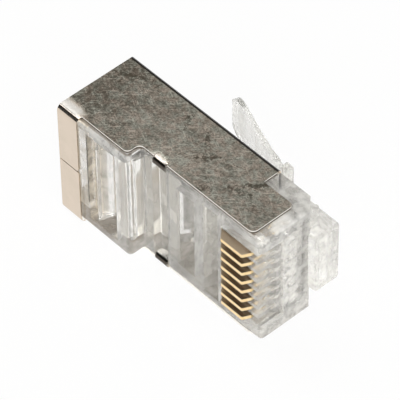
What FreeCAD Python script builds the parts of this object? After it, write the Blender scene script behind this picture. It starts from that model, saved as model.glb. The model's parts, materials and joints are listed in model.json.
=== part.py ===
import FreeCAD, Part
import math
import os

# Eight-way modular plug with a folded sheet shield, not yet crimped.
# The plug stands on one long side. While it is drawn, X runs from the cable end
# to the nose, Y from the contact face to the latch, and Z is up across the width.
# Lengths are in millimetres.

WIDTH = 11.76          # over the two shield sides
MID = WIDTH / 2
SHEET = 0.25           # shield sheet thickness
BACK_FOLD = 0.27       # outer radius of the two folds along the back
FLAP_FOLD = 0.6        # outer radius of the folds of the rear flaps

REAR_END = 0.15        # cable end of the moulding
REAR_FACE = 0.25       # contact-side face of the deep rear part
FRONT_FACE = 1.83      # contact-side face of the slim front part
LATCH_FACE = 7.92      # latch-side face of the nose
BACK_FACE = 8.0        # outside of the shield's back
STEP = 7.9             # where the deep part drops to the slim part
BACK_END = 16.93       # front end of the shield on the latch side
NOSE = 21.3            # front face
NOSE_CUT = 1.05        # sloping corner between front face and latch face

PLATE_REAR = 0.62      # near edge of the shield sides at the cable end
PLATE_FRONT = 1.95     # near edge of the shield sides towards the nose
PLATE_STEP = 7.53
NOTCH_DEPTH = 6.18
PLATE_NOSE = 20.25
FLAP = 2.27            # length of the two rear flaps
TAB_START = 9.2
TAB_WIDTH = 1.35
TAB_TURN = 150.0       # degrees that each tab is bent over

PITCH = 1.016
WAYS = 8
BLADE = 0.33           # blade thickness
BLADE_EDGE = 1.15      # height of the blade edge before crimping
SLOT = 0.65            # width of the open comb slots
SLOT_START = 16.75
SLIT = 0.36            # width of the slits that hold the blades
WIRE_Y = 5.45          # centre of the wire channels
WIRE_BORE = 0.9

LATCH_WIDE = 6.1       # latch width at the root and over the shoulders
LATCH_NECK = 3.25      # lever width where it passes the slot of a jack
LATCH_PADDLE = 4.12    # lever width at the finger end
LATCH_NECK_END = (14.6, 10.3)
LATCH_REACH = 9.62     # from the neck to the finger end
LATCH_SLOPE = 19.5     # degrees between the lever and the body
LATCH_HINGE = (19.62, 9.06)
LATCH_HALF = 0.3       # half of the latch beam thickness

BAR_HINGE = (3.25, 1.2)
BAR_KNUCKLE = 0.17
BAR_LENGTH = 8.0
RUN_GAP = 0.02         # gap round the two bending lines
AIR_GAP = 0.02         # between the shield sides and the moulding

# The origin of the finished part lies on the outside of the lower shield side.
ORIGIN = FreeCAD.Vector(10.4, 4.6, 0)


def outline(corners):
    """Closed outline from rows of x, y and corner radius."""
    points = [FreeCAD.Vector(x, y, 0) for x, y, radius in corners]
    starts, ends, arcs = [], [], []
    for index, here in enumerate(points):
        radius = corners[index][2]
        if radius == 0:
            starts.append(here)
            ends.append(here)
            arcs.append(None)
            continue
        to_last = (points[index - 1] - here).normalize()
        to_next = (points[(index + 1) % len(points)] - here).normalize()
        half = to_last.getAngle(to_next) / 2
        first = here + to_last * (radius / math.tan(half))
        last = here + to_next * (radius / math.tan(half))
        inward = (to_last + to_next).normalize()
        middle = here + inward * (radius / math.sin(half) - radius)
        starts.append(first)
        ends.append(last)
        arcs.append(Part.Arc(first, middle, last).toShape())
    edges = []
    for index in range(len(points)):
        if arcs[index] is not None:
            edges.append(arcs[index])
        following = starts[(index + 1) % len(points)]
        if ends[index].distanceToPoint(following) > 1e-6:
            edges.append(Part.makeLine(ends[index], following))
    return Part.Wire(edges)


def prism(corners, low, high):
    """Solid with an X-Y outline between two heights."""
    face = Part.Face(outline(corners))
    face.translate(FreeCAD.Vector(0, 0, low))
    return face.extrude(FreeCAD.Vector(0, 0, high - low))


def sharp(*pairs):
    return [(x, y, 0) for x, y in pairs]


def beam(corners, x1, x2):
    """Solid along X with a Y-Z outline."""
    solid = prism(corners, x1, x2)
    turn = FreeCAD.Rotation(FreeCAD.Vector(1, 1, 1), 120)
    solid.Placement = FreeCAD.Placement(FreeCAD.Vector(), turn)
    return solid


def block(x1, x2, y1, y2, z1, z2):
    return Part.makeBox(x2 - x1, y2 - y1, z2 - z1, FreeCAD.Vector(x1, y1, z1))


def rod(x, y, radius, low, high):
    return Part.makeCylinder(radius, high - low, FreeCAD.Vector(x, y, low))


def and_mirrored(shape):
    """The shape and its mirror image about the middle of the width."""
    return [shape, shape.mirror(FreeCAD.Vector(0, 0, MID), FreeCAD.Vector(0, 0, 1))]


def middle_band(width):
    """Heights of a band of the given width about the middle."""
    return MID - width / 2, MID + width / 2


def way_heights():
    return [MID + (index - (WAYS - 1) / 2) * PITCH for index in range(WAYS)]


def save(shape, name):
    shape = shape.removeSplitter()
    shape.translate(ORIGIN * -1)
    print(name, len(shape.Solids), "solid", round(shape.Volume, 3), "mm3", shape.isValid())
    shape.Solids[0].exportStep("parts/" + name + ".step")


# Shield: one folded sheet.

def plate_outline():
    """Side view of the two shield sides."""
    return [(0, PLATE_REAR, 0), (PLATE_STEP, PLATE_REAR, 0.45), (PLATE_STEP, PLATE_FRONT, 0.5),
            (PLATE_NOSE, PLATE_FRONT, 0.55), (PLATE_NOSE, NOTCH_DEPTH, 0.4),
            (BACK_END, NOTCH_DEPTH, 0.12), (BACK_END, BACK_FACE, 0), (0, BACK_FACE, 0)]


def shield_channel():
    outer = beam([(-1, 0, 0), (BACK_FACE, 0, BACK_FOLD), (BACK_FACE, WIDTH, BACK_FOLD), (-1, WIDTH, 0)],
                 0, PLATE_NOSE)
    inside = BACK_FOLD - SHEET
    inner = beam([(-2, SHEET, 0), (BACK_FACE - SHEET, SHEET, inside),
                  (BACK_FACE - SHEET, WIDTH - SHEET, inside), (-2, WIDTH - SHEET, 0)],
                 -1, PLATE_NOSE + 1)
    return outer.cut(inner).common(prism(plate_outline(), -1, WIDTH + 1))


def shield_flaps():
    outer = beam([(0, 0, FLAP_FOLD), (0, WIDTH, FLAP_FOLD),
                  (BACK_FACE, WIDTH, BACK_FOLD), (BACK_FACE, 0, BACK_FOLD)], 0, FLAP)
    low, high, back = SHEET, WIDTH - SHEET, BACK_FACE - SHEET
    inner = beam([(SHEET, low, FLAP_FOLD - SHEET), (SHEET, high, FLAP_FOLD - SHEET),
                  (back, high, BACK_FOLD - SHEET), (back, low, BACK_FOLD - SHEET)], -1, FLAP + 1)
    ring = outer.cut(inner)
    gap = 0.09
    mouth = prism([(-1, MID - gap / 2, 0), (FLAP - 0.16, MID - gap / 2, 0), (FLAP + 0.02, MID - 0.3, 0),
                   (FLAP + 0.02, MID + 0.3, 0), (FLAP - 0.16, MID + gap / 2, 0),
                   (-1, MID + gap / 2, 0)], 0, 1)
    mouth.Placement = FreeCAD.Placement(FreeCAD.Vector(0, 0.5, 0),
                                        FreeCAD.Rotation(FreeCAD.Vector(1, 0, 0), 90))
    return ring.cut(mouth)


def shield_tab():
    """Upper tab, bent over the contact side and into the groove."""
    outer_radius = 0.45
    axis_y, axis_z = 2.15, WIDTH - outer_radius
    strip = Part.Face(Part.makePolygon([
        FreeCAD.Vector(TAB_START, axis_y, WIDTH),
        FreeCAD.Vector(TAB_START + TAB_WIDTH, axis_y, WIDTH),
        FreeCAD.Vector(TAB_START + TAB_WIDTH, axis_y, WIDTH - SHEET),
        FreeCAD.Vector(TAB_START, axis_y, WIDTH - SHEET),
        FreeCAD.Vector(TAB_START, axis_y, WIDTH)]))
    centre = FreeCAD.Vector(TAB_START, axis_y, axis_z)
    curl = strip.revolve(centre, FreeCAD.Vector(1, 0, 0), TAB_TURN)
    tip = prism([(TAB_START, 0.01, 0), (TAB_START, -0.5, 0.42),
                 (TAB_START + TAB_WIDTH, -0.5, 0.42), (TAB_START + TAB_WIDTH, 0.01, 0)],
                outer_radius - SHEET, outer_radius)
    tip.rotate(FreeCAD.Vector(), FreeCAD.Vector(1, 0, 0), TAB_TURN)
    tip.translate(FreeCAD.Vector(0, axis_y, axis_z))
    return curl.fuse(tip)


def tab_relief(x):
    return block(x - 0.04, x + 0.04, 1.5, 2.3, WIDTH - 0.5, WIDTH + 0.5)


def shield():
    body = shield_channel().fuse(shield_flaps())
    for relief in [tab_relief(TAB_START - 0.04), tab_relief(TAB_START + TAB_WIDTH + 0.04)]:
        for cutter in and_mirrored(relief):
            body = body.cut(cutter)
    under_tab = block(TAB_START, TAB_START + TAB_WIDTH, 1.5, 2.15, WIDTH - 0.5, WIDTH + 0.5)
    for cutter in and_mirrored(under_tab):
        body = body.cut(cutter)
    for tab in and_mirrored(shield_tab()):
        body = body.fuse(tab)
    return body


# Moulding: clear body with the fixed root of the latch.

def body_outline():
    return [(REAR_END, REAR_FACE, 0), (STEP, REAR_FACE, 0.45), (STEP, FRONT_FACE, 0.25),
            (NOSE, FRONT_FACE, 0.42), (NOSE, LATCH_FACE - NOSE_CUT, 0),
            (NOSE - NOSE_CUT, LATCH_FACE, 0), (REAR_END, LATCH_FACE, 0)]


def body_block():
    low, high = SHEET + AIR_GAP, WIDTH - SHEET - AIR_GAP
    solid = prism(body_outline(), low, high)
    back = BACK_FACE - SHEET - AIR_GAP
    covered = beam([(-1, low, 0), (back, low, 0.1), (back, high, 0.1), (-1, high, 0)],
                   -1, BACK_END + 0.03)
    solid = solid.common(covered.fuse(block(BACK_END, NOSE + 1, -1, LATCH_FACE + 1, low, high)))
    solid = solid.removeSplitter()
    rim = []
    for edge in solid.Edges:
        box = edge.BoundBox
        flat = box.ZLength < 1e-6
        on_side = abs(box.ZMin - low) < 1e-6 or abs(box.ZMin - high) < 1e-6
        contact_side = box.YMax < FRONT_FACE + 0.43 and box.XMax > REAR_END + 0.1
        if flat and on_side and contact_side:
            rim.append(edge)
    return solid.makeFillet(0.37, rim)


def latch_root():
    """Fixed block that carries the latch on the front face."""
    low, high = middle_band(LATCH_WIDE)
    hinge_x, hinge_y = LATCH_HINGE
    inner = hinge_y - LATCH_HALF
    outer = hinge_y + LATCH_HALF
    solid = prism([(20.9, 6.75, 0), (22.17, 6.75, 0.25), (22.17, outer, 0.35), (hinge_x, outer, 0),
                   (hinge_x, inner, 0), (20.45, inner, 0.25), (20.45, 7.3, 0)], low, high)
    ends = []
    for edge in solid.Edges:
        box = edge.BoundBox
        flat = box.ZLength < 1e-6
        if flat and box.XMin > 20.5 and box.YMin > 8.5:
            ends.append(edge)
    solid = solid.makeFillet(0.3, ends)
    return solid.cut(rod(hinge_x, hinge_y, LATCH_HALF + RUN_GAP, low - 1, high + 1))


def cable_cavity():
    low, high = 1.6, WIDTH - 1.6
    room = prism([(-1, 1.35, 0), (6.9, 1.35, 0.3), (7.6, 3.4, 0.3), (11.6, 4.6, 0), (11.6, 6.3, 0),
                  (9.0, 6.75, 0), (-1, 6.75, 0)], low, high)
    mouth = Part.makeLoft([outline_at(-0.02, 0.55), outline_at(0.9, 0.0)], True)
    return room.fuse(mouth)


def outline_at(x, spread):
    corners = [(1.35 - spread, 1.6 - spread), (6.75 + spread, 1.6 - spread),
               (6.75 + spread, WIDTH - 1.6 + spread), (1.35 - spread, WIDTH - 1.6 + spread)]
    points = [FreeCAD.Vector(x, y, z) for y, z in corners]
    return Part.makePolygon(points + points[:1])


def wire_channels():
    channels = []
    for height in way_heights():
        bore = Part.makeCylinder(WIRE_BORE / 2, 9.0, FreeCAD.Vector(11.5, WIRE_Y, height),
                                 FreeCAD.Vector(1, 0, 0))
        channels.append(bore)
    return channels


def comb_slots():
    slots = []
    for height in way_heights():
        open_part = prism([(SLOT_START, 1.0, 0), (22.0, 1.0, 0), (22.0, 4.2, 0), (NOSE, 4.2, 0),
                           (20.55, 3.2, 0.5), (SLOT_START, 3.2, 0.2)],
                          height - SLOT / 2, height + SLOT / 2)
        slit = block(16.95, 20.25, 3.0, 5.9, height - SLIT / 2, height + SLIT / 2)
        slots.append(open_part.fuse(slit))
    return slots


def nose_recess():
    """Shallow recess where the comb slots run out of the front face."""
    return prism([(20.95, 1.0, 0), (22.0, 1.0, 0), (22.0, 4.25, 0), (20.95, 4.25, 0.3)],
                 1.6, WIDTH - 1.6)


def tab_groove():
    return prism([(9.0, 1.0, 0), (10.65, 1.0, 0), (10.65, 2.62, 0.15), (9.0, 2.62, 0.15)],
                 0, WIDTH)


def bar_window():
    low, high = 1.12, WIDTH - 1.12
    return prism(sharp((3.05, -0.5), (6.4, -0.5), (6.4, 1.6), (3.05, 1.6)), low, high)


def bar_shelf():
    """Ledge at the rear of the window that the anchor bar bends about."""
    low, high = middle_band(BAR_LENGTH)
    x, y = BAR_HINGE
    ledge = prism([(2.9, y - 0.22, 0), (x, y - 0.22, 0), (x, y + 0.22, 0), (2.9, y + 0.22, 0)],
                  low, high)
    return ledge.cut(rod(x, y, BAR_KNUCKLE + RUN_GAP, low - 1, high + 1))


def first_pocket():
    return prism([(11.75, 1.0, 0), (13.75, 1.0, 0), (13.75, 4.3, 0.25), (11.75, 4.3, 0.25)],
                 1.62, WIDTH - 1.62)


def second_pocket():
    return prism([(14.8, 1.0, 0), (16.45, 1.0, 0), (16.45, 3.9, 0.25), (14.8, 3.9, 0.25)],
                 0.95, WIDTH - 0.95)


def housing():
    body = body_block().fuse(latch_root())
    body = body.cut(cable_cavity())
    body = body.cut(bar_window())
    body = body.fuse(bar_shelf())
    for cutter in [tab_groove(), first_pocket(), second_pocket(), nose_recess()]:
        body = body.cut(cutter)
    body = body.cut(Part.makeCompound(wire_channels()))
    return body.cut(Part.makeCompound(comb_slots()))


# Latch: the part that bends towards the body.

def latch_outline_beam():
    hinge_x, hinge_y = LATCH_HINGE
    inner = hinge_y - LATCH_HALF
    outer = hinge_y + LATCH_HALF
    return [(hinge_x, outer, 0), (16.85, outer, 0.5), (15.4, 10.82, 0.25), (14.55, 10.95, 0.15),
            (14.55, 10.2, 0.1), (15.0, 10.18, 0.3), (16.4, inner, 0.5), (hinge_x, inner, 0)]


def latch_outline_lever():
    """Side view of the lever, which thins and curves towards the finger end."""
    return [(15.3, 10.62, 0), (13.3, 11.38, 1.0), (12.2, 11.58, 2.0), (10.05, 12.29, 5.0),
            (7.7, 13.2, 2.0), (5.95, 13.74, 0.3), (5.58, 13.68, 0.12), (5.55, 13.36, 0.12),
            (7.75, 12.75, 2.0), (9.84, 11.88, 5.0), (11.66, 11.25, 5.0), (14.6, 10.3, 0),
            (15.3, 10.14, 0)]


def latch_plan():
    """Solid with the lever's plan: a narrow neck that widens to a rounded paddle."""
    neck, paddle = LATCH_NECK / 2, LATCH_PADDLE / 2
    half = [(-2.0, neck, 0), (0.2, neck, 1.5), (3.2, paddle, 4.0), (LATCH_REACH, paddle, 1.2)]
    plan = prism([(x, -y, radius) for x, y, radius in half] + half[::-1], -3, 3)
    slope = math.radians(LATCH_SLOPE)
    along = FreeCAD.Vector(-math.cos(slope), math.sin(slope), 0)
    outward = FreeCAD.Vector(math.sin(slope), math.cos(slope), 0)
    across = FreeCAD.Vector(0, 0, 1)
    plan.Placement = FreeCAD.Placement(FreeCAD.Vector(*LATCH_NECK_END, MID),
                                       FreeCAD.Rotation(along, across, outward, "XYZ"))
    return plan


def latch():
    low, high = middle_band(LATCH_WIDE)
    wide = prism(latch_outline_beam(), low, high)
    ends = []
    for edge in wide.Edges:
        box = edge.BoundBox
        if box.ZLength < 1e-6 and box.XMax < 15.6 and box.YMin > 10.0 and box.XLength > 0.3:
            ends.append(edge)
    wide = wide.makeFillet(0.22, ends)
    lever_low, lever_high = middle_band(LATCH_PADDLE)
    lever = prism(latch_outline_lever(), lever_low, lever_high).common(latch_plan())
    knuckle = rod(LATCH_HINGE[0], LATCH_HINGE[1], LATCH_HALF, low, high)
    return wide.fuse(lever).fuse(knuckle)


# Anchor bar: clamps the cable jacket at crimping.

def anchor_bar():
    low, high = middle_band(BAR_LENGTH)
    x, y = BAR_HINGE
    solid = prism([(4.3, 0.12, 0.08), (5.15, 1.45, 0.3), (4.45, 1.68, 0.12),
                   (x, y + BAR_KNUCKLE, 0), (x, y - BAR_KNUCKLE, 0), (3.62, 1.02, 0)],
                  low, high)
    for bevel in and_mirrored(bar_bevel(high)):
        solid = solid.cut(bevel)
    return solid.fuse(rod(x, y, BAR_KNUCKLE, low, high))


def bar_bevel(top):
    """Wedge that slopes the end of the bar away from its working edge."""
    wedge = prism(sharp((4.5, top + 0.01), (6.0, top + 0.01), (6.0, top - 0.85)), 0, 3)
    turn = FreeCAD.Rotation(FreeCAD.Vector(1, 0, 0), 90)
    wedge.Placement = FreeCAD.Placement(FreeCAD.Vector(0, 3, 0), turn)
    return wedge


# Contacts: stamped blades with two piercing points each.

def contact_outline():
    return [(17.5, BLADE_EDGE, 0.12), (19.85, BLADE_EDGE, 0.12), (20.2, 1.85, 0.1), (20.2, 3.75, 0.1),
            (19.75, 3.95, 0), (19.35, 4.95, 0.05), (18.95, 3.95, 0.08), (18.55, 3.95, 0.08),
            (18.15, 4.95, 0.05), (17.75, 3.95, 0), (17.1, 3.75, 0.1), (17.1, 2.4, 0.2),
            (16.85, 2.1, 0.05), (16.85, 1.9, 0.08)]


def contact(height):
    blade = prism(contact_outline(), height - BLADE / 2, height + BLADE / 2)
    return blade


os.makedirs("parts", exist_ok=True)
save(shield(), "shield")
save(housing(), "housing")
save(latch(), "latch_lever")
save(anchor_bar(), "anchor_bar")
for number, height in enumerate(way_heights(), start=1):
    save(contact(height), "contact_" + str(number))
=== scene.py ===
# %% [markdown]
# A clear modular network plug with a folded metal shield, standing on its long side.
# The packed model is loaded first. It is the fixed frame: every solid already has its real
# shape and place, so this script gives it finishes, a stage, light and a camera.
# The box of the solids is kept from the start, so the end can show that nothing grew.

# %% Load the frame
import json
import math
import bpy
from mathutils import Matrix, Vector


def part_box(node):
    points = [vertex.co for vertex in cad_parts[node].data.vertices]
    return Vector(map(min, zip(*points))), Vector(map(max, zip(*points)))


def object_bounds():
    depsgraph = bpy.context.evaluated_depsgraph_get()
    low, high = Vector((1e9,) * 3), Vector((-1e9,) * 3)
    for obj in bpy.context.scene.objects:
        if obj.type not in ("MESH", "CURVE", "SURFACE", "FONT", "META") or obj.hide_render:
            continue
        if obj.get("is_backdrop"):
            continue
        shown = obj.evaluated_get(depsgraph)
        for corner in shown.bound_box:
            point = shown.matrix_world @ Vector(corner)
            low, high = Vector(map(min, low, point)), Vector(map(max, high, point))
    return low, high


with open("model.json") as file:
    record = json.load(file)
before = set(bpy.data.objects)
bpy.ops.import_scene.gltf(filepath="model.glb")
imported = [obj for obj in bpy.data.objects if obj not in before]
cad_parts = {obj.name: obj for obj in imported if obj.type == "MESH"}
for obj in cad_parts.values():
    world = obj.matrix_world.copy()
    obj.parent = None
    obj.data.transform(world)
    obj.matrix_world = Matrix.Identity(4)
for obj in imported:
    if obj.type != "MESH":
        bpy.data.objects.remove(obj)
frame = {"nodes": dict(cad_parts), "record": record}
solid_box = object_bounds()
nodes = frame["nodes"]
print("nodes:", ", ".join(sorted(nodes)))
print("size in mm:", [round(1000 * edge, 2) for edge in solid_box[1] - solid_box[0]])

# %% [markdown]
# The photograph was taken with a long lens from above the nose and the contact side.
# A camera could be aimed with a constraint, but a matrix says the same in directions that
# can be read off: to the right of the picture, and the way it looks. Up in the picture
# follows from these two. The lens is long, so edges that are parallel on the plug stay
# almost parallel in the picture.

# %% Camera
LOOK = Vector((-0.50964, 0.45375, -0.73101))
RIGHT = Vector((0.67375, 0.73889, -0.01109))
EYE = Vector((0.137792, -0.121806, 0.202756))
FOCAL_LENGTH = 311.07
SENSOR_WIDTH = 36


def aim(location, look, right):
    """Matrix of an object at a location whose minus Z axis points along look."""
    up = right.cross(look).normalized()
    turn = Matrix((right.normalized(), up, -look.normalized())).transposed()
    return Matrix.Translation(location) @ turn.to_4x4()


lens = bpy.data.cameras.new("photo_camera")
lens.lens = FOCAL_LENGTH
lens.sensor_width = SENSOR_WIDTH
lens.clip_start = 0.01
camera = bpy.data.objects.new("photo_camera", lens)
camera.matrix_world = aim(EYE, LOOK, RIGHT)
bpy.context.scene.collection.objects.link(camera)
bpy.context.scene.camera = camera
bpy.context.scene.view_settings.view_transform = "Standard"
print("camera distance in mm:", round(1000 * EYE.length, 1))

# %% [markdown]
# Finishes are node trees. Written out one node at a time they are hard to read, so a small
# class stands for a socket. A sum on it adds Math nodes, so `1 - mask` is a real sum, and
# make() adds every other kind of node from its type, its settings and its inputs.

# %% A socket that can be used in sums
class Socket:
    def __init__(self, tree, socket=None):
        self.tree = tree
        self.socket = socket

    def make(self, kind, settings=None, inputs=None, output=0):
        """Add a node, set it, fill its inputs with values or links, and give one output."""
        node = self.tree.nodes.new("ShaderNode" + kind)
        for name, value in (settings or {}).items():
            setattr(node, name, value)
        for name, value in (inputs or {}).items():
            entry = node.inputs[name]
            if isinstance(value, Socket):
                self.tree.links.new(value.socket, entry)
            else:
                entry.default_value = (*value, 1) if entry.type == "RGBA" else value
        return Socket(self.tree, node.outputs[output] if node.outputs else None)

    def maths(self, operation, first, second):
        return self.make("Math", {"operation": operation}, {0: first, 1: second})

    def __add__(self, other):
        return self.maths("ADD", self, other)

    def __sub__(self, other):
        return self.maths("SUBTRACT", self, other)

    def __rsub__(self, other):
        return self.maths("SUBTRACT", other, self)

    def __mul__(self, other):
        return self.maths("MULTIPLY", self, other)

    __radd__ = __add__
    __rmul__ = __mul__


print("sums on sockets:", [name for name in vars(Socket) if name.endswith(("add__", "sub__", "mul__"))])

# %% Start and end of a finish
def new_material(name):
    material = bpy.data.materials.new(name)
    material.use_nodes = True
    material.node_tree.nodes.clear()
    return material, Socket(material.node_tree)


def finish_with(surface):
    surface.make("OutputMaterial", None, {"Surface": surface})


print("materials so far:", len(bpy.data.materials))

# %% [markdown]
# The plug stands on a plain white table. More light would turn a grey table white too, but
# it would also bleach the plug. So what the camera sees of the table, straight or through
# plastic or off metal, is mixed with plain white, and a share of real paint stays in the
# mix and keeps a soft shadow under the plug.

# %% Table
TABLE_HALF = 3.0
TABLE_PAINT = (0.95, 0.95, 0.94)
PLAIN_WHITE = (1, 1, 1)
WHITE_SHARE = 0.92


def larger(first, second):
    return first.maths("MAXIMUM", first, second)


def seen_directly(start):
    """1 for rays that show the background: from the camera, through plastic or off metal."""
    straight, through, mirrored = [start.make("LightPath", output="Is %s Ray" % kind)
                                   for kind in ("Camera", "Transmission", "Glossy")]
    return larger(larger(straight, through), mirrored)


corners = [(-TABLE_HALF, -TABLE_HALF, 0), (TABLE_HALF, -TABLE_HALF, 0),
           (TABLE_HALF, TABLE_HALF, 0), (-TABLE_HALF, TABLE_HALF, 0)]
table_mesh = bpy.data.meshes.new("table")
table_mesh.from_pydata(corners, [], [(0, 1, 2, 3)])
table = bpy.data.objects.new("table", table_mesh)
bpy.context.scene.collection.objects.link(table)
table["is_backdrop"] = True
paint, start = new_material("white_table")
matt = start.make("BsdfDiffuse", None, {"Color": TABLE_PAINT})
plain = start.make("Emission", None, {"Color": PLAIN_WHITE, "Strength": 1.0})
finish_with(start.make("MixShader", None, {0: seen_directly(start) * WHITE_SHARE, 1: matt, 2: plain}))
table_mesh.materials.append(paint)
print("table is", table.dimensions.x, "m wide")

# %% [markdown]
# Two large soft lamps light the plug. The smaller one hangs high over the cable end and
# draws the white line along the fold of the rear flap and the shine above the tab. The
# larger one stands behind the camera and lights the plastic. Disks were chosen over bare
# points of light, because their reflections in bent metal have soft ends.

# %% Lamps
def soft_lamp(name, direction, distance, size, watts):
    light = bpy.data.lights.new(name, "AREA")
    light.shape = "DISK"
    light.size = size
    light.energy = watts
    lamp = bpy.data.objects.new(name, light)
    towards = -Vector(direction).normalized()
    side = towards.cross(Vector((0, 0, 1)))
    lamp.matrix_world = aim(Vector(direction).normalized() * distance, towards, side)
    bpy.context.scene.collection.objects.link(lamp)
    print(name, "radiance", round(watts / (math.pi * math.pi * size * size / 4), 2))


soft_lamp("key_softbox", (-0.51, -0.04, 0.86), distance=0.50, size=0.28, watts=0.8)
soft_lamp("fill_softbox", (0.55, -0.50, 0.67), distance=0.80, size=0.90, watts=5.0)

# %% [markdown]
# A mask is a number from 0 to 1 that says where something holds. A hard step would show as
# a jagged line, so a mask rises smoothly from one place to another. Where the second place
# is the lower one, it rises towards lower values.

# %% Masks
def rise(value, zero_at, one_at):
    """Mask that rises smoothly from 0 at one place to 1 at the other."""
    return value.make("MapRange", {"interpolation_type": "SMOOTHSTEP"},
                      {"Value": value, "From Min": zero_at, "From Max": one_at})


def axis(vector, name):
    return vector.make("SeparateXYZ", None, {0: vector}, name)


def away_from(value, middle):
    """Distance of a value from a middle, on either side of it."""
    return value.maths("ABSOLUTE", value - middle, 0.0)


def mix_colours(factor, first, second):
    return factor.make("Mix", {"data_type": "RGBA"}, {0: factor, 6: first, 7: second}, 2)


print("mask helpers:", ", ".join(tool.__name__ for tool in (rise, axis, away_from, mix_colours)))

# %% [markdown]
# Bare metal shows the room it stands in, so the room decides how the shield looks. Its walls
# are white near the horizon and dim overhead, which is why the flat top plate looks dark.
# A dark card beyond the cable end, on the contact side, gives the fold of the flap its thin
# dark line, as in a photographer's studio. Light that has passed through the plastic meets
# no card and a paler room, which keeps the moulding clear. A picture of a room would do as
# well, but these few colours can be read and changed one by one.

# %% Room
WHITE_WALL = (1.0, 1.0, 1.0)
DIM_CEILING = (0.30, 0.295, 0.28)
DARK_CARD = (0.02, 0.02, 0.02)
PALE_ROOM = (1.0, 0.99, 0.97)
PALE_SHARE = 0.45
CARD_DIRECTION = (-0.50, -0.75, 0.43)
CARD_MIDDLE = -0.51

world = bpy.data.worlds.new("room")
bpy.context.scene.world = world
world.use_nodes = True
world.node_tree.nodes.clear()
air = Socket(world.node_tree)
direction = air.make("TexCoord", output="Generated")
from_plastic = air.make("LightPath", output="Is Transmission Ray")
towards_card = air.make("VectorMath", {"operation": "DOT_PRODUCT"},
                        {0: direction, 1: CARD_DIRECTION}, "Value")
card = rise(towards_card, 0.70, 0.82) * rise(away_from(axis(direction, "X"), CARD_MIDDLE), 0.35, 0.15)
wall = mix_colours(rise(axis(direction, "Z"), 0.10, 0.40), WHITE_WALL, DIM_CEILING)
wall = mix_colours(card * (1 - from_plastic), wall, DARK_CARD)
wall = mix_colours(from_plastic * PALE_SHARE, wall, PALE_ROOM)
room = air.make("Background", None, {"Color": wall, "Strength": 1.0})
room.make("OutputWorld", None, {"Surface": room})
print("room has", len(world.node_tree.nodes), "nodes")

# %% [markdown]
# The finishes change from place to place, so the places come first. X runs to the nose, Y to
# the latch, and Z up, across the plug. The shield's box gives the most important of them.

# %% Places on the plug, in mm
SHIELD_HIGH = 1000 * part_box("shield")[1]
WIDTH = SHIELD_HIGH.z
HALF = WIDTH / 2
SHIELD_BACK = SHIELD_HIGH.y
SHIELD_FRONT = SHIELD_HIGH.x
SHEET = 0.25
BODY_BACK = 3.3
print("plug is", round(WIDTH, 2), "wide, its shield ends at", round(SHIELD_FRONT, 2))

# %% [markdown]
# A zone is a stretch of the plug with a look of its own. It could be cut out as a face, but
# a mask needs no cut and fades at its edges. A zone is written as a list of its edges: what
# is measured, where the mask is still 0, and where it is 1.

# %% Zones
def measure(start):
    """What the edges of zones are measured in: places in mm, and how flat a face lies."""
    where = start.make("TexCoord", output="Object")
    mm = where.make("VectorMath", {"operation": "SCALE"}, {0: where, "Scale": 1000.0})
    x, y, z = [axis(mm, name) for name in "XYZ"]
    up = axis(start.make("TexCoord", output="Normal"), "Z")
    return mm, {"x": x, "y": y, "z": z, "off_middle": away_from(z, HALF), "flat": up * up}


def zone(measured, edges):
    """Mask of a zone from the list of its edges."""
    mask = 1
    for name, zero_at, one_at in edges:
        mask = mask * rise(measured[name], zero_at, one_at)
    return mask


def noise(mm, scale, detail, roughness=0.6):
    return mm.make("TexNoise", None,
                   {"Vector": mm, "Scale": scale, "Detail": detail, "Roughness": roughness})


print("middle of the plug in mm:", round(HALF, 2))

# %% [markdown]
# The housing, the latch and the anchor bar are one clear moulding.
# Clear plastic bends light, so it needs a shader that refracts; a see-through colour alone
# would look like fog. But real mouldings are a little cloudy here and there: at the nose,
# along the upper rim, beside the flap, where the anchor bar bends, and on the latch. So a
# clear and a cloudy surface are mixed. One table says where each zone lies, one how cloudy
# it is, and one gives the painted tone of each zone's cloudy surface. These tones paint light
# and shade: painted shade at the chin and on the latch, the brown of the metal seen through
# the plastic beside the flap and at the bend of the anchor bar, and painted light at the
# notch and on the lever.

# %% Cloudy zones of the moulding
BODY_ONLY = ("y", BODY_BACK + 0.1, BODY_BACK - 0.1)
LATCH_ONLY = ("y", BODY_BACK, BODY_BACK + 0.9)
MOULDING_ZONES = {
    "nose": [("x", 1.5, 4.5)],
    "front_face": [("x", SHIELD_FRONT + 0.7, SHIELD_FRONT + 1.0), BODY_ONLY],
    "top_rim": [("z", WIDTH - 1.4, WIDTH - 0.5), ("y", -3.9, -4.0), ("x", 8.0, 5.0)],
    "by_flap": [("x", -7.9, -8.6)],
    "bar_bend": [("x", -8.6, -8.0), ("x", -7.0, -7.3), ("y", -4.3, -4.2), ("y", -2.0, -2.4)],
    "notch": [("z", WIDTH - 0.6, WIDTH - 0.45), ("x", 7.5, 8.0), ("y", -1.5, -1.0)],
    "chin": [("x", 7.6, 9.0), ("z", 1.5, 0.9), BODY_ONLY],
    "latch": [LATCH_ONLY],
    "lever": [LATCH_ONLY, ("x", 8.8, 8.0)]}
CLOUDY_EVERYWHERE = 0.09
CLOUDY_INSIDE = 0.08
CLOUDINESS = {"nose": 0.10, "front_face": 0.16, "top_rim": 0.26, "by_flap": 0.16,
              "bar_bend": 0.40, "notch": 0.17, "chin": 0.38, "latch": 0.10}
CLOUDY_PATCHES = (1.1, 3.0)
THINNEST, SPREAD = 0.55, 0.9
MILKY = (0.96, 0.945, 0.91)
# painted light and shade: darker tones at the chin and latch are painted shade, brown ones paint the
# metal seen through the plastic, and pale ones at the notch and lever are painted light
PAINTED_TONES = {"by_flap": (0.80, 0.71, 0.58), "bar_bend": (0.80, 0.72, 0.60), "notch": (1.0, 0.99, 0.96),
         "chin": (0.64, 0.62, 0.585), "latch": (0.84, 0.83, 0.81), "lever": (1.0, 1.0, 0.97)}


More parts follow.
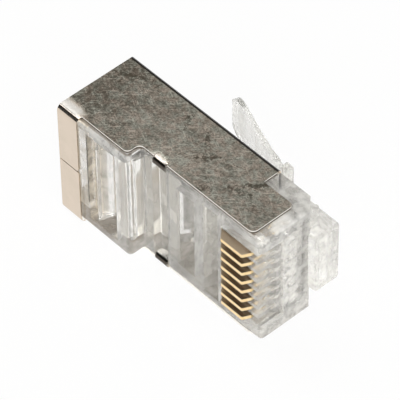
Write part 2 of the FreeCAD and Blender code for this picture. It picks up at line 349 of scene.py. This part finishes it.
def cloudiness(start, mm, zones):
    """How much of the cloudy surface shows, a little uneven as the melt flowed."""
    inner_side = start.make("NewGeometry", output="Backfacing")
    cloudy = CLOUDY_EVERYWHERE + inner_side * CLOUDY_INSIDE
    for name, share in CLOUDINESS.items():
        cloudy = cloudy + zones[name] * share
    return cloudy * (THINNEST + rise(noise(mm, *CLOUDY_PATCHES), 0.32, 0.68) * SPREAD)


print("cloudiest zone:", max(CLOUDINESS, key=CLOUDINESS.get))

# %% [markdown]
# Some places of the moulding lie in the shade of a thin gap: the line under the edge of the
# sheet, and the floor over the lower side of the shield. The gap is only 0.02 mm wide and
# hardly darkens by itself, so its shade is painted there as a matt brown.

# %% Shade on the moulding
GAP_SHADE = (0.16, 0.13, 0.10)
RIM = [("flat", 0.9995, 0.997)]
UNDER_SHEET = [("off_middle", HALF - SHEET - 0.08, HALF - SHEET - 0.04),
               ("x", SHIELD_FRONT + 0.1, SHIELD_FRONT)]
FLOOR = ("z", SHEET + 0.07, SHEET + 0.03)
REAR_FLOOR = [FLOOR, ("x", -4.8, -5.2)]
FRONT_FLOOR = [FLOOR, ("x", 0.0, 1.0), ("x", 7.0, 6.0)]
SHEET_SHADE, REAR_SHADE, FRONT_SHADE = 0.75, 0.6, 0.35


def shaded(measured):
    """How much of the surface is painted as shade."""
    rim = zone(measured, RIM)
    floors = zone(measured, REAR_FLOOR) * REAR_SHADE + zone(measured, FRONT_FLOOR) * FRONT_SHADE
    return rim * zone(measured, UNDER_SHEET) * SHEET_SHADE + (1 - rim) * floors


print("the sheet is", SHEET, "mm thick, and its shade starts below that")

# %% [markdown]
# The mould leaves a slight ripple on the plastic. It could be modelled, but it is only some
# thousandths of a millimetre high, so it is a bump. The latch and the front face are
# smoother. Shadow rays pass the plastic with little loss, because a refracting solid would
# otherwise throw a nearly black shadow.

# %% Clear moulded plastic
CLEAR_TINT = (0.972, 0.965, 0.945)
SHADOW_TINT = (0.93, 0.93, 0.92)
PLASTIC_IOR = 1.5
CLEAR_ROUGHNESS, CLOUDY_ROUGHNESS = 0.03, 0.25
# noise is given by its scale in each mm, its detail and its roughness
FLOW, FINE_GRAIN = (0.55, 3.0, 0.5), (6.0, 4.0)
FLOW_HEIGHT, GRAIN_HEIGHT = 0.006, 0.0003
LATCH_SMOOTHER, FACE_SMOOTHER = 0.85, 0.6
ONE_MM = 0.001


def clear_plastic():
    material, start = new_material("clear_plastic")
    mm, measured = measure(start)
    zones = {name: zone(measured, edges) for name, edges in MOULDING_ZONES.items()}
    grain = noise(mm, *FINE_GRAIN)
    ripple = noise(mm, *FLOW) * FLOW_HEIGHT + grain * GRAIN_HEIGHT
    ripple = ripple * (1 - zones["latch"] * LATCH_SMOOTHER) * (1 - zones["front_face"] * FACE_SMOOTHER)
    bump = start.make("Bump", None, {"Strength": 1.0, "Distance": ONE_MM, "Height": ripple})
    clear = start.make("BsdfPrincipled", None, {
        "Base Color": CLEAR_TINT, "Normal": bump, "IOR": PLASTIC_IOR, "Transmission Weight": 1.0,
        "Roughness": CLEAR_ROUGHNESS + rise(grain, 0.35, 0.75) * 0.05 + zones["latch"] * 0.10})
    # the cloudy surface takes the painted tones of light and shade
    tone = MILKY
    for name, tint in PAINTED_TONES.items():
        tone = mix_colours(zones[name], tone, tint)
    cloudy = start.make("BsdfPrincipled", None, {
        "Base Color": tone, "Roughness": CLOUDY_ROUGHNESS, "Normal": bump, "IOR": PLASTIC_IOR})
    shade = start.make("BsdfDiffuse", None, {"Color": GAP_SHADE})
    passed = start.make("BsdfTransparent", None, {"Color": SHADOW_TINT})
    moulding = start.make("MixShader", None, {0: cloudiness(start, mm, zones), 1: clear, 2: cloudy})
    moulding = start.make("MixShader", None, {0: shaded(measured), 1: moulding, 2: shade})
    shadow_ray = start.make("LightPath", output="Is Shadow Ray")
    finish_with(start.make("MixShader", None, {0: shadow_ray, 1: moulding, 2: passed}))
    return material


CLEAR = clear_plastic()
print("clear plastic has", len(CLEAR.node_tree.nodes), "nodes")

# %% [markdown]
# The shield is thin sheet with a dull warm nickel plating. Tumbling with other parts leaves
# short scratches in all directions on its large sides. Single scratches could be drawn as
# curves, but thousands of them are easier as stretched noise: five layers at five angles,
# each cut down to its thin crests, three of them pale and two dark.

# %% Scratches
# each layer: angle in degrees from X, length and width in mm, and the noise it starts and ends at
PALE_SCRATCHES = [(47, 1.3, 0.10, 0.55, 0.72), (12, 1.0, 0.09, 0.57, 0.74), (-25, 0.9, 0.10, 0.57, 0.74)]
DARK_SCRATCHES = [(85, 0.8, 0.12, 0.60, 0.72), (55, 1.1, 0.09, 0.60, 0.74)]


def stretched(mm, place, angle, length, width):
    """Coordinates that make one unit as long and as wide as given, in mm, at an angle."""
    return mm.make("Mapping", {"vector_type": "TEXTURE"}, {
        "Vector": mm, "Location": place, "Rotation": (0, 0, math.radians(angle)),
        "Scale": (length, width, 1.0)})


def scratches(mm, layers):
    """The strongest of several layers of streaks."""
    strongest = None
    for angle, length, width, starts, full in layers:
        streaks = rise(noise(stretched(mm, (0, 0, 0), angle, length, width), 1.0, 1.5), starts, full)
        strongest = larger(strongest, streaks) if strongest else streaks
    return strongest


print("scratch layers:", len(PALE_SCRATCHES), "pale and", len(DARK_SCRATCHES), "dark")

# %% [markdown]
# The large sides also have a few bruises, small dark spots where parts knocked together.
# A bruise is a stretched round spot whose rim is broken up by the same noise as the plating.

# %% Bruises
BRUISE_WIDTH = 0.22
RAGGED = 0.9
# each bruise: place along X and Y, angle in degrees, length in mm, and depth of its tone
BRUISES = [(-2.1, 1.6, -60, 0.9, 0.374), (0.3, 1.5, -50, 0.6, 0.442), (1.7, 0.1, 47, 1.0, 0.408),
           (3.7, -2.4, 40, 1.1, 0.374), (6.5, 0.9, 50, 1.2, 0.68), (6.1, -0.5, 20, 1.0, 0.374),
           (-9.0, 1.7, 30, 1.3, 0.425), (-5.6, -2.5, 45, 0.7, 0.255)]


def bruise(mm, x, y, angle, length, uneven):
    """Mask of one bruise on the upper side, with a rim that the noise makes uneven."""
    spot = stretched(mm, (x, y, WIDTH), angle, length, BRUISE_WIDTH)
    far = mm.make("VectorMath", {"operation": "LENGTH"}, {0: spot}, "Value")
    return rise(far + uneven * RAGGED, 1.3, 0.4)


print("bruises:", len(BRUISES))

# %% [markdown]
# Scratches and bruises lie on plating that is cloudy and grainy itself, and darker towards
# the cable end. All of it is added up as one number for how light the nickel is, which then
# picks a colour between a deep and a pale one. A faint tint drifts over it, as on old nickel.

# %% Tumbled plating
NICKEL_LIGHT = 0.49
NICKEL_SHARES = {"cloud": 0.24, "mottle": 0.24, "grain": 0.60, "darker_end": -0.28,
                 "pale": 0.46, "dark": -0.32}
NICKEL_NOISE = {"cloud": (0.42, 2.0), "mottle": (2.3, 2.0, 0.65), "grain": (6.5, 3.0, 0.75)}
TINT_DRIFT = (1.6, 3.0)
DEEP_NICKEL, PALE_NICKEL = (0.20, 0.172, 0.135), (1.0, 0.93, 0.825)
COOL_TINT, WARM_TINT = (0.93, 1.0, 1.0), (1.0, 0.95, 0.93)
DARKER_END = [("x", -3.0, -10.5)]


def swing(texture):
    """Noise drawn out to the range from -0.5 to 0.5."""
    return rise(texture, 0.3, 0.7) - 0.5


def tumbled(mm):
    """Colour of the plating where tumbling has scratched it, darker towards the cable end."""
    layers = {name: swing(noise(mm, *texture)) for name, texture in NICKEL_NOISE.items()}
    layers["darker_end"] = zone({"x": axis(mm, "X")}, DARKER_END)
    layers["pale"] = scratches(mm, PALE_SCRATCHES)
    layers["dark"] = scratches(mm, DARK_SCRATCHES)
    light = NICKEL_LIGHT
    for name, share in NICKEL_SHARES.items():
        light = light + layers[name] * share
    uneven = layers["grain"] + layers["mottle"]
    for x, y, angle, length, depth in BRUISES:
        light = light - bruise(mm, x, y, angle, length, uneven) * depth
    grey = mix_colours(light, DEEP_NICKEL, PALE_NICKEL)
    tint = mix_colours(rise(noise(mm, *TINT_DRIFT), 0.36, 0.64), COOL_TINT, WARM_TINT)
    return mm.make("Mix", {"data_type": "RGBA", "blend_type": "MULTIPLY"}, {0: 1.0, 6: grey, 7: tint}, 2)


print("layers of the plating:", ", ".join(NICKEL_SHARES))

# %% [markdown]
# Where the bending tool pressed, the sheet sinks a little: towards the fold of each rear
# flap, and in a shallow dent above each tab. The dips are at most about two tenths of a
# millimetre deep, so they are a bump too, and they catch the light of the smaller lamp.

# %% Dips of the bending tool
FLAP_DIP = 0.10
FLAP_DIP_STARTS = -3.1
BESIDE_FLAP = [("x", -7.2, -9.2)]
TAB_DIP = 0.105
# the middle of the dent, then half its length and half its width
TAB_DIP_X, TAB_DIP_Y = -0.7, -3.25
TAB_DIP_LONG, TAB_DIP_WIDE = 5 / 3, 4 / 3


def flap_dip(measured):
    """How far the sheet sinks towards the fold of the rear flap, in mm."""
    beyond = larger(FLAP_DIP_STARTS - measured["y"], 0.0)
    return beyond * beyond * FLAP_DIP * zone(measured, BESIDE_FLAP)


def tab_dip(measured):
    """How deep the dent above the tab is, in mm."""
    along = (measured["x"] - TAB_DIP_X) * (1 / TAB_DIP_LONG)
    across = (measured["y"] - TAB_DIP_Y) * (1 / TAB_DIP_WIDE)
    inside = larger(1 - along * along - across * across, 0.0)
    return inside * inside * TAB_DIP


print("dent above the tab in mm:", round(2 * TAB_DIP_LONG, 1), "long,", TAB_DIP, "deep")

# %% [markdown]
# One sheet has many kinds of surface: scratched sides, pressed spots that stay smooth, the
# cut edge, the inside, the back, and the folds and tabs. Each could be a slot of its own,
# but then every face would need sorting. Zones measured in place and flatness do the same,
# and fade into each other.

# %% Zones of the sheet
TAB_MIDDLE = -0.525
OUTSIDE = ("off_middle", HALF - 0.12, HALF - 0.04)
SHEET_ZONES = {
    "large_side": [("flat", 0.86, 0.97), OUTSIDE],
    "turning_over": [("flat", 0.2, 0.6), OUTSIDE],
    "dipped": [("flat", 0.72, 0.97), OUTSIDE],
    "beside_tab": [("off_tab", 0.66, 0.70)],
    "cut_edge": [("flat", 0.6, 0.2), ("off_middle", HALF - SHEET - 0.02, HALF - SHEET - 0.01),
                 ("y", -4.20, -4.10), ("y", SHIELD_BACK - 0.35, SHIELD_BACK - 0.40),
                 ("off_tab", 0.66, 0.70)],
    "lower_half": [("z", WIDTH - 0.08, WIDTH - 0.12), ("z", HALF, HALF + 1)],
    "inside": [("off_middle", HALF - 0.15, HALF - 0.20), ("y", -4.50, -4.45),
               ("y", SHIELD_BACK - 0.15, SHIELD_BACK - 0.20)],
    "back": [("y", SHIELD_BACK - 0.04, SHIELD_BACK - 0.02), ("flat", 0.10, 0.02)],
    "back_fold": [("y", SHIELD_BACK - 0.40, SHIELD_BACK - 0.32), ("flat", 0.02, 0.10)],
    "tab_face": [("y", -2.66, -2.78), ("y", -4.0, -3.9)]}
AWAY_FROM_FLAP = [("y", -3.7, -3.1), ("x", -8.8, -7.6)]
SMOOTH_IN_DENT = 0.7


def sheet_zones(measured):
    """Masks of the sheet's surfaces, by name."""
    measured = dict(measured, off_tab=away_from(measured["x"], TAB_MIDDLE))
    zones = {name: zone(measured, edges) for name, edges in SHEET_ZONES.items()}
    by_flap = 1 - sum(zone(measured, [edge]) for edge in AWAY_FROM_FLAP)
    zones["pressed"] = larger(by_flap, rise(tab_dip(measured), 0.01, 0.04) * SMOOTH_IN_DENT)
    zones["shiny"] = zones["pressed"] * zones["turning_over"]
    zones["tab"] = zones["tab_face"] * (1 - zones["beside_tab"])
    return zones


print("zones of the sheet:", ", ".join(SHEET_ZONES))

# %% [markdown]
# The smooth nickel comes first, and each zone is laid over it. A cut edge is bare metal,
# matt where the blade tore it; its near-white colour is also a painted highlight, and on the
# upper side its lower half is painted dark as painted shade. The inside of the sheet is
# painted near white as painted light, for light that reaches it through the plastic. The
# tabs and a thin line along the fold at the back are painted nearly black as painted shade.
# The scratches are drawn in the plane of the large sides, so for the back of the shield Y
# and Z change places, or its scratches would all stand upright.

# %% Colour of the sheet
SMOOTH_NICKEL = [(0.69, 0.59, 0.48), (0.73, 0.62, 0.51)]
SMOOTH_PATCHES = (0.8, 3.0)
# painted light: the inside of the sheet is painted near white, for light reaching it through the plastic
INNER_PAINTED_LIGHT = (0.93, 0.90, 0.85)
PRESSED_NICKEL = (0.66, 0.64, 0.61)
# the cut edge: bare metal made near white as a painted highlight, and its lower half painted dark as
# shade
BRIGHT_CUT, SHADED_CUT = (0.98, 0.95, 0.90), (0.11, 0.085, 0.06)
# painted shade: the tab faces and the thin line along the back fold are painted nearly black
TAB_SHADE = (0.10, 0.085, 0.07)
FOLD_SHADE = (0.05, 0.045, 0.04)
LESS_WEAR_PRESSED, BACK_WEAR = 0.8, 0.35


def mix_vectors(factor, first, second):
    return factor.make("Mix", {"data_type": "VECTOR"}, {0: factor, 4: first, 5: second}, 1)


def sheet_colour(mm, measured, zones):
    cut = mix_colours(zones["lower_half"], BRIGHT_CUT, SHADED_CUT)
    colour = mix_colours(rise(noise(mm, *SMOOTH_PATCHES), 0.3, 0.7), *SMOOTH_NICKEL)
    for name, over in (("inside", INNER_PAINTED_LIGHT), ("cut_edge", cut), ("shiny", PRESSED_NICKEL)):
        colour = mix_colours(zones[name], colour, over)
    turned = mm.make("CombineXYZ", None, {"X": measured["x"], "Y": measured["z"], "Z": measured["y"]})
    worn = zones["large_side"] * (1 - zones["pressed"] * LESS_WEAR_PRESSED) + zones["back"] * BACK_WEAR
    colour = mix_colours(worn, colour, tumbled(mix_vectors(zones["back"], mm, turned)))
    # painted shade on the tabs and along the back fold
    colour = mix_colours(zones["tab"], colour, TAB_SHADE)
    return mix_colours(zones["back_fold"], colour, FOLD_SHADE)


print("plain colours of the sheet: smooth, inner, pressed, cut and shaded")

# %% [markdown]
# A thin sheet is never quite flat. The large sides also sag by up to a tenth of a millimetre
# every few millimetres, which makes the reflection of the room uneven. A bend in the mesh
# would show the same, but would move the surface that other parts rest on.

# %% Scratched nickel sheet
SAG = 0.10
SAG_SHAPE = (0.16, 1.0, 0.4)
NICKEL_ROUGHNESS = 0.20


def nickel_sheet():
    material, start = new_material("nickel_sheet")
    mm, measured = measure(start)
    zones = sheet_zones(measured)
    relief = noise(mm, *SAG_SHAPE) * SAG - flap_dip(measured) - tab_dip(measured)
    bump = start.make("Bump", None, {
        "Strength": 1.0, "Distance": ONE_MM, "Height": zones["dipped"] * relief})
    roughness = (NICKEL_ROUGHNESS + zones["large_side"] * 0.04 + zones["shiny"] * 0.27
                 + zones["cut_edge"] * 0.3)
    finish_with(start.make("BsdfPrincipled", None, {
        "Base Color": sheet_colour(mm, measured, zones), "Metallic": 1 - zones["cut_edge"] * 0.8,
        "Roughness": roughness, "Normal": bump}))
    return material


NICKEL = nickel_sheet()
print("nickel sheet has", len(NICKEL.node_tree.nodes), "nodes")

# %% [markdown]
# The eight contacts are stamped blades, gold-plated over nickel. Their thin edges are
# polished and catch the light of the table. Their flat sides are rougher, and their gold is
# painted darker as painted shade, for the shade between the blades. Edges and sides could be
# two materials, but how flat a face lies tells them apart just as well. A faint wave from
# stamping breaks up the reflections.

# %% Gold blades
DEEP_GOLD, PALE_GOLD = (0.95, 0.70, 0.37), (1.0, 0.79, 0.47)
# painted shade: the flat sides are painted a darker gold for the shade between the blades
SIDE_GOLD_PAINTED_SHADE = (0.56, 0.45, 0.33)
FLAT_SIDE = [("flat", 0.5, 0.9)]
GOLD_ROUGHNESS = 0.16
STAMPING_WAVE = (3.0, 3.0)
STAMPING_HEIGHT = 0.02 * ONE_MM


def gold_blade():
    material, start = new_material("gold_blade")
    mm, measured = measure(start)
    flat_side = zone(measured, FLAT_SIDE)
    wave = noise(mm, *STAMPING_WAVE)
    edge_gold = mix_colours(rise(wave, 0.3, 0.7), DEEP_GOLD, PALE_GOLD)
    # the flat sides take the painted shade
    colour = mix_colours(flat_side, edge_gold, SIDE_GOLD_PAINTED_SHADE)
    roughness = GOLD_ROUGHNESS + flat_side * 0.14 + rise(wave, 0.3, 0.8) * 0.06
    bump = start.make("Bump", None, {"Strength": 0.15, "Distance": STAMPING_HEIGHT, "Height": wave})
    finish_with(start.make("BsdfPrincipled", None, {
        "Base Color": colour, "Metallic": 1.0, "Roughness": roughness, "Normal": bump}))
    return material


GOLD = gold_blade()
print("gold blade has", len(GOLD.node_tree.nodes), "nodes")

# %% [markdown]
# A solid whose shape is right stays as it is and only gets its finish. The packed record
# names a finish for each solid, so one loop can dress them all.

# %% Dress the solids
FINISHES = {"clear_plastic": CLEAR, "nickel_sheet": NICKEL, "gold_blade": GOLD}
for part in frame["record"]["subparts"]:
    solid = nodes[part["node"]]
    solid.data.materials.clear()
    solid.data.materials.append(FINISHES[part["material_slot"]])
    for face in solid.data.polygons:
        face.material_index = 0
print("dressed", len(nodes), "solids")

# %% [markdown]
# At the end the box of what is shown is measured again, and how much it grew past the
# box of the solids is printed.

# %% Sizes and finish
shown_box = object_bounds()
grown = (shown_box[1] - shown_box[0]) - (solid_box[1] - solid_box[0])
print("grew in mm:", [round(1000 * edge, 3) for edge in grown])
